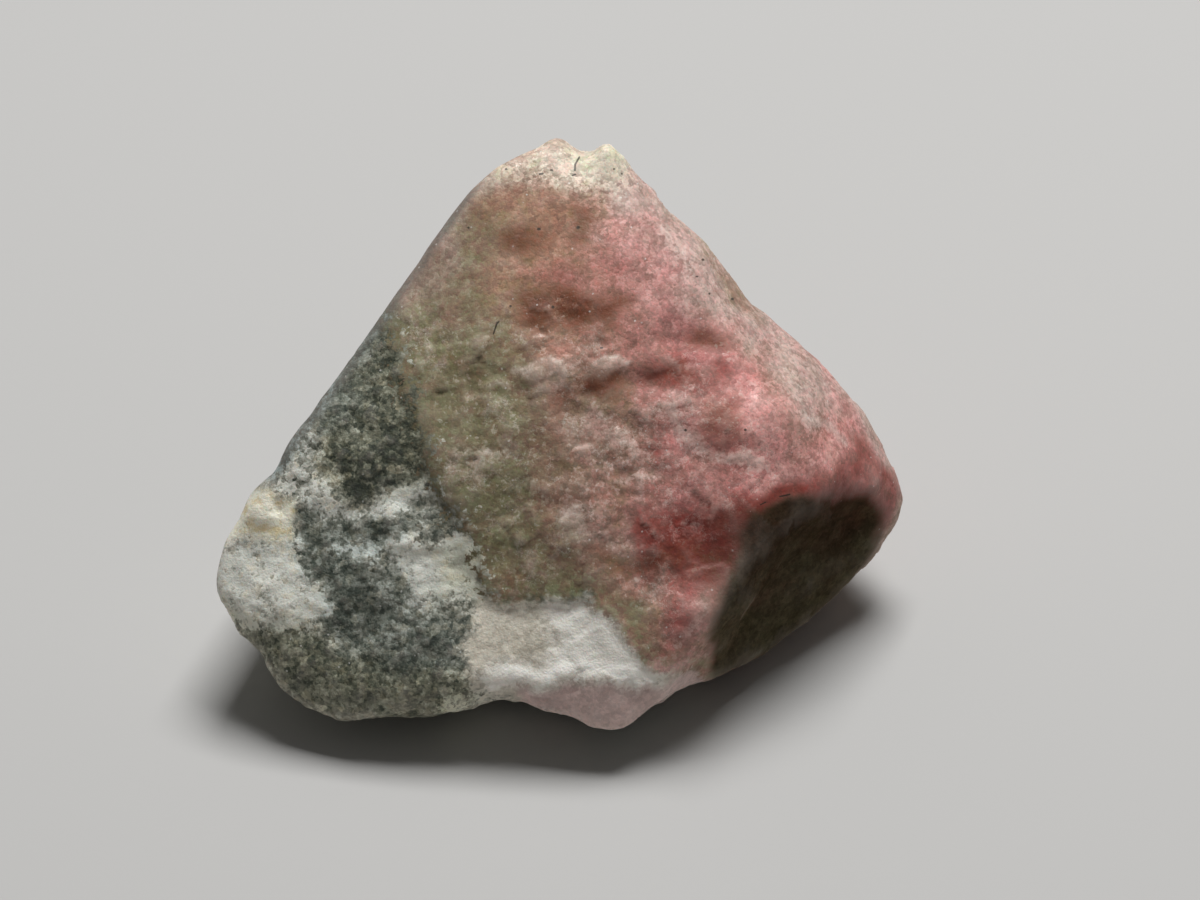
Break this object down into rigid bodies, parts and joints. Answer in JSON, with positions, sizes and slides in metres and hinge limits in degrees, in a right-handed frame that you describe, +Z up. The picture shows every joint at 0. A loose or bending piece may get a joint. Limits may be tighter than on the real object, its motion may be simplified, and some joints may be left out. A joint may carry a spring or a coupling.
{
  "type": "tugtupite specimen",
  "caption": "Rough chip of rose-pink tugtupite grown together with speckled grey-white feldspar matrix, a blunt triangle from the front, lying on a flat broken foot.",
  "frame": {"origin": "middle of the stone's box, on the ground under it", "axes": "+X to the right along the longest extent, -Y towards the broad pink face, +Z up; the stone lies on its flat foot"},
  "size_m": [0.0224, 0.016, 0.0152],
  "materials": {
    "tugtupite": "rough broken stone: waxy rose-pink tugtupite, speckled black, green-grey and white matrix"
  },
  "bodies": {
    "root": {"tugtupite_stone": "tugtupite"}
  },
  "joints": []
}
